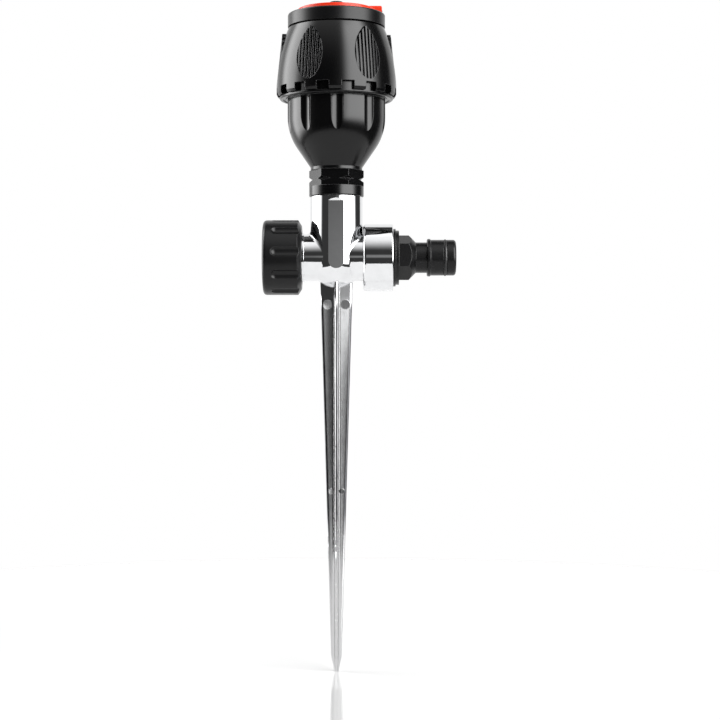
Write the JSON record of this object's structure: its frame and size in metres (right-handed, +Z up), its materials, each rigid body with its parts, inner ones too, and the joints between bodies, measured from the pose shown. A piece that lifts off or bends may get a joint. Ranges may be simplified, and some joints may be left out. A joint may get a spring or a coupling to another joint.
{
  "type": "rotary garden sprinkler on a ground spike",
  "caption": "Turbine-driven rotary garden sprinkler: ribbed black head with an orange jet turret on a chrome spike base with a hose nipple and a capped second outlet",
  "frame": {"origin": "on the spike's axis at the ground line, where the round bottom of the tee ends", "axes": "+Z up along the spike, +X out of the hose nipple, the picture looks along +Y"},
  "size_m": [0.0922, 0.0574, 0.3212],
  "materials": {
    "chrome_zinc": "bright plated die casting",
    "black_gloss": "moulded, half gloss",
    "black_satin": "moulded, satin",
    "orange_plastic": "moulded, half gloss",
    "rubber": "moulded",
    "gear_acetal": "moulded, natural",
    "steel": "ground pin"
  },
  "bodies": {
    "base": {"spike_body": "chrome_zinc", "inlet_adapter": "black_satin", "inlet_washer": "rubber", "nipple_o_ring": "rubber", "head_washer": "rubber", "lower_housing": "black_gloss", "inlet_strainer": "gear_acetal", "port_plate": "gear_acetal"},
    "upper_head": {"upper_housing": "black_gloss", "housing_seal": "rubber", "throttle_disc": "gear_acetal", "stator": "gear_acetal", "gear_case": "gear_acetal", "gear_case_cover": "gear_acetal", "idler_axles": "steel", "thrust_washer": "gear_acetal", "shaft_bush": "gear_acetal", "shaft_seal": "rubber"},
    "turbine": {"turbine_wheel": "gear_acetal", "turbine_shaft": "steel", "turbine_pinion": "gear_acetal"},
    "first_idler": {"first_idler": "gear_acetal"},
    "second_idler": {"second_idler": "gear_acetal"},
    "turret": {"output_gear": "gear_acetal", "output_shaft": "black_satin", "turret_base": "black_satin", "turret_top": "orange_plastic", "jet_nozzle": "black_satin"},
    "range_valve": {"range_plug": "black_satin", "range_knob": "black_satin"},
    "cap_washer": {"end_cap_washer": "rubber"},
    "end_cap": {"end_cap": "black_satin"}
  },
  "joints": [
    {"name": "head_twist", "type": "hinge", "parent": "base", "child": "upper_head", "pos_m": [0, 0, 0.1], "axis": [0, 0, 1], "range_deg": [0, 45]},
    {"name": "turret_spin", "type": "hinge", "parent": "upper_head", "child": "turret", "pos_m": [0, 0, 0.12], "axis": [0, 0, 1], "continuous": true},
    {"name": "second_idler_spin", "type": "hinge", "parent": "upper_head", "child": "second_idler", "pos_m": [0.004, 0.00693, 0.1], "axis": [0, 0, 1], "continuous": true},
    {"name": "first_idler_spin", "type": "hinge", "parent": "upper_head", "child": "first_idler", "pos_m": [0.008, 0, 0.1], "axis": [0, 0, 1], "continuous": true},
    {"name": "turbine_spin", "type": "hinge", "parent": "upper_head", "child": "turbine", "pos_m": [0, 0, 0.09], "axis": [0, 0, 1], "continuous": true},
    {"name": "range_turn", "type": "hinge", "parent": "turret", "child": "range_valve", "pos_m": [0, 0, 0.134], "axis": [0, 0, 1], "range_deg": [0, 90]},
    {"name": "cap_back_off", "type": "slide", "parent": "base", "child": "cap_washer", "axis": [-1, 0, 0], "range_m": [0, 0.0145]},
    {"name": "cap_turn", "type": "hinge", "parent": "cap_washer", "child": "end_cap", "pos_m": [-0.03, 0, 0.0145], "axis": [-1, 0, 0], "range_deg": [0, 2877.62]}
  ],
  "couplings": [
    {"joint": "second_idler_spin", "follows": "turret_spin", "ratio": -3},
    {"joint": "first_idler_spin", "follows": "turret_spin", "ratio": 9},
    {"joint": "turbine_spin", "follows": "turret_spin", "ratio": -27},
    {"joint": "cap_back_off", "follows": "cap_turn", "m_per_rad": 0.00028871}
  ]
}
